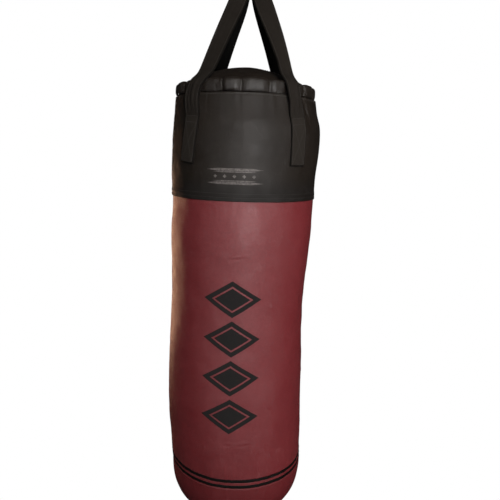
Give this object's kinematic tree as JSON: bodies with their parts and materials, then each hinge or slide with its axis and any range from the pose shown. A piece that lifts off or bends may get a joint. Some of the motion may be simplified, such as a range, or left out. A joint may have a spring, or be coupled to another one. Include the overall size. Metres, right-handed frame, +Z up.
{
  "type": "heavy punching bag",
  "caption": "Hanging leather punching bag with a dark upper band, webbing straps sewn to it, a steel ring, a snap hook and a ball-bearing swivel on top.",
  "frame": {"origin": "centre of the hole of the swivel's top eye, which the bag hangs from", "axes": "+Z up along the bag's axis, -Y towards the front, +X to the right seen from the front"},
  "size_m": [0.372, 0.372, 1.6395],
  "materials": {
    "plated_steel": "satin",
    "dark_steel": "satin",
    "black_webbing": "matte",
    "black_leather": "satin",
    "oxblood_leather": "satin",
    "zip_tape": "matte",
    "lining_cloth": "matte",
    "foam": "matte",
    "textile_fill": "matte"
  },
  "bodies": {
    "swivel_top": {"swivel_top_eye": "plated_steel", "swivel_housing": "plated_steel", "thrust_race_lower": "dark_steel", "ball_cage": "dark_steel"},
    "swivel_bow": {"swivel_eye_bolt": "plated_steel", "swivel_nut": "plated_steel", "thrust_race_upper": "dark_steel"},
    "snap_hook": {"hook_body": "plated_steel", "gate_rivet": "dark_steel"},
    "gate": {"hook_gate": "plated_steel", "gate_spring": "dark_steel"},
    "ring": {"hanger_ring": "plated_steel"},
    "bag": {"strap_left": "black_webbing", "strap_right": "black_webbing", "upper_band": "black_leather", "reinforcing_band": "black_webbing", "collar": "black_leather", "lid_front": "black_leather", "lid_rear": "black_leather", "zip_tape_front": "zip_tape", "zip_tape_rear": "zip_tape", "zip_teeth_front": "dark_steel", "zip_teeth_rear": "dark_steel", "zip_stop_closed": "dark_steel", "zip_stop_open": "dark_steel", "body_cover": "oxblood_leather", "piping_upper": "black_leather", "base_strip": "oxblood_leather", "piping_lower": "black_leather", "base_cap": "oxblood_leather", "inner_lining": "lining_cloth", "foam_liner": "foam", "top_pad": "foam", "textile_fill": "textile_fill"},
    "slider": {"zip_slider": "dark_steel"},
    "tab": {"zip_tab": "dark_steel"}
  },
  "joints": [
    {"name": "swivel_spin", "type": "hinge", "parent": "swivel_top", "child": "swivel_bow", "pos_m": [0, 0, -0.06], "axis": [0, 0, 1], "continuous": true},
    {"name": "hook_swing", "type": "hinge", "parent": "swivel_bow", "child": "snap_hook", "pos_m": [0, 0, -0.1225], "axis": [1, 0, 0], "range_deg": [-40, 40]},
    {"name": "gate_open", "type": "hinge", "parent": "snap_hook", "child": "gate", "pos_m": [0, -0.01404, -0.137], "axis": [1, 0, 0], "range_deg": [0, 25], "stiffness_Nm_per_rad": 0.15, "springref_deg": -20.05},
    {"name": "ring_swing", "type": "hinge", "parent": "snap_hook", "child": "ring", "pos_m": [0, 0, -0.2012], "axis": [0, 1, 0], "range_deg": [-30, 30]},
    {"name": "strap_pivot", "type": "hinge", "parent": "ring", "child": "bag", "pos_m": [0, 0, -0.28], "axis": [1, 0, 0], "range_deg": [-35, 35]},
    {"name": "zip_travel", "type": "hinge", "parent": "bag", "child": "slider", "pos_m": [0, 0, -0.72186], "axis": [0, 1, 0], "range_deg": [-46.9, 0]},
    {"name": "tab_lift", "type": "hinge", "parent": "slider", "child": "tab", "pos_m": [0.11103, 0, -0.47293], "axis": [0, 1, 0], "range_deg": [-110, 0]}
  ]
}
